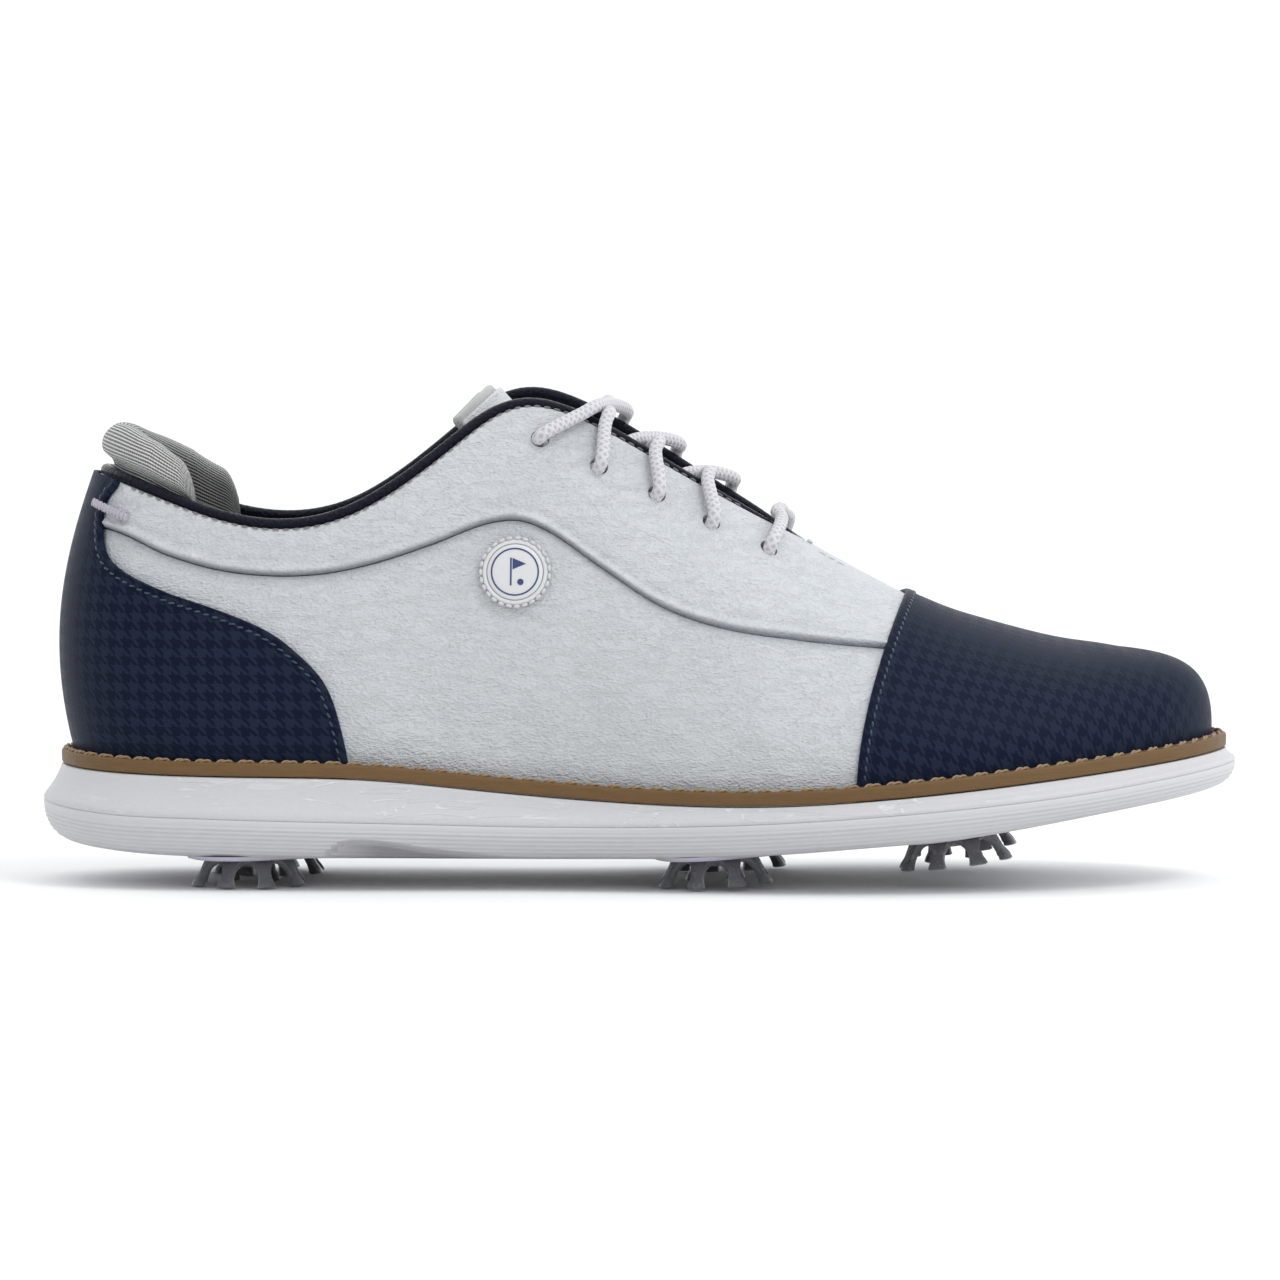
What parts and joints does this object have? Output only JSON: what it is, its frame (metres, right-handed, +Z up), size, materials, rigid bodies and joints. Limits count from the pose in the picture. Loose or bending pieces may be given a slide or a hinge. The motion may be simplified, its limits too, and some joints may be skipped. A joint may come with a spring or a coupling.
{
  "type": "golf shoe",
  "caption": "Laced low golf shoe with a padded collar, a welted two-layer sole, a side-laced throat and twist-out ground cleats.",
  "frame": {"origin": "on the floor, under the middle of the shoe's bounding box", "axes": "+X from heel to toe, +Y towards the inner (medial) side of this right shoe, -Y the outer side, +Z up"},
  "size_m": [0.2806, 0.0988, 0.1158],
  "materials": {
    "outsole_rubber": "matte, finely ribbed",
    "midsole_foam": "satin, crinkle texture",
    "welt": "waxed edge with stitching",
    "shank_steel": "plain",
    "insole_board": "fibreboard",
    "footbed": "fabric-topped foam",
    "white_leather": "smooth full grain, semi-matt",
    "navy_leather": "printed with a tone-on-tone check",
    "stiffener": "plain",
    "lining": "brushed knit",
    "binding": "glossy folded tape",
    "heel_pad": "ribbed knit over foam",
    "tongue_foam": "foam",
    "lace": "round braid",
    "aglet": "clear film",
    "badge": "embossed patch",
    "socket": "moulded",
    "cleat": "translucent smoke"
  },
  "bodies": {
    "shoe": {"outsole": "outsole_rubber", "midsole": "midsole_foam", "welt": "welt", "shank": "shank_steel", "insole_board": "insole_board", "footbed": "footbed", "saddle": "white_leather", "quarter_lateral": "white_leather", "quarter_medial": "white_leather", "heel_counter": "stiffener", "toe_puff": "stiffener", "heel_cover": "navy_leather", "toe_cap": "navy_leather", "quarter_lining": "lining", "vamp_lining": "lining", "collar_binding": "binding", "heel_pad": "heel_pad", "lace": "lace", "aglet_lateral": "aglet", "aglet_medial": "aglet", "badge_ring": "badge", "badge_disc": "badge", "socket_heel_lateral": "socket", "socket_heel_medial": "socket", "socket_ball_lateral": "socket", "socket_ball_medial": "socket", "socket_front_lateral": "socket", "socket_front_medial": "socket"},
    "tongue": {"tongue_face": "white_leather", "tongue_foam": "tongue_foam", "tongue_lining": "lining"},
    "cleat_heel_lateral": {"cleat_heel_lateral": "cleat"},
    "cleat_heel_medial": {"cleat_heel_medial": "cleat"},
    "cleat_ball_lateral": {"cleat_ball_lateral": "cleat"},
    "cleat_ball_medial": {"cleat_ball_medial": "cleat"},
    "cleat_front_lateral": {"cleat_front_lateral": "cleat"},
    "cleat_front_medial": {"cleat_front_medial": "cleat"}
  },
  "joints": [
    {"name": "tongue_fold", "type": "hinge", "parent": "shoe", "child": "tongue", "pos_m": [0.0492, 0.0026, 0.066], "axis": [0, -1, 0], "range_deg": [0, 8], "stiffness_Nm_per_rad": 0.3, "springref_deg": -3.44},
    {"name": "twist_heel_lateral", "type": "hinge", "parent": "shoe", "child": "cleat_heel_lateral", "pos_m": [-0.09131, -0.01594, 0.0076], "axis": [0, 0, 1], "range_deg": [0, 60]},
    {"name": "twist_heel_medial", "type": "hinge", "parent": "shoe", "child": "cleat_heel_medial", "pos_m": [-0.08831, 0.01806, 0.0076], "axis": [0, 0, 1], "range_deg": [0, 60]},
    {"name": "twist_ball_lateral", "type": "hinge", "parent": "shoe", "child": "cleat_ball_lateral", "pos_m": [0.01735, -0.02194, 0.00821], "axis": [-0.0436, 0, 0.999], "range_deg": [0, 60]},
    {"name": "twist_ball_medial", "type": "hinge", "parent": "shoe", "child": "cleat_ball_medial", "pos_m": [0.02135, 0.02406, 0.00821], "axis": [-0.0436, 0, 0.999], "range_deg": [0, 60]},
    {"name": "twist_front_lateral", "type": "hinge", "parent": "shoe", "child": "cleat_front_lateral", "pos_m": [0.07276, -0.01794, 0.01254], "axis": [-0.1219, 0, 0.9925], "range_deg": [0, 60]},
    {"name": "twist_front_medial", "type": "hinge", "parent": "shoe", "child": "cleat_front_medial", "pos_m": [0.07576, 0.02306, 0.01254], "axis": [-0.1219, 0, 0.9925], "range_deg": [0, 60]}
  ]
}
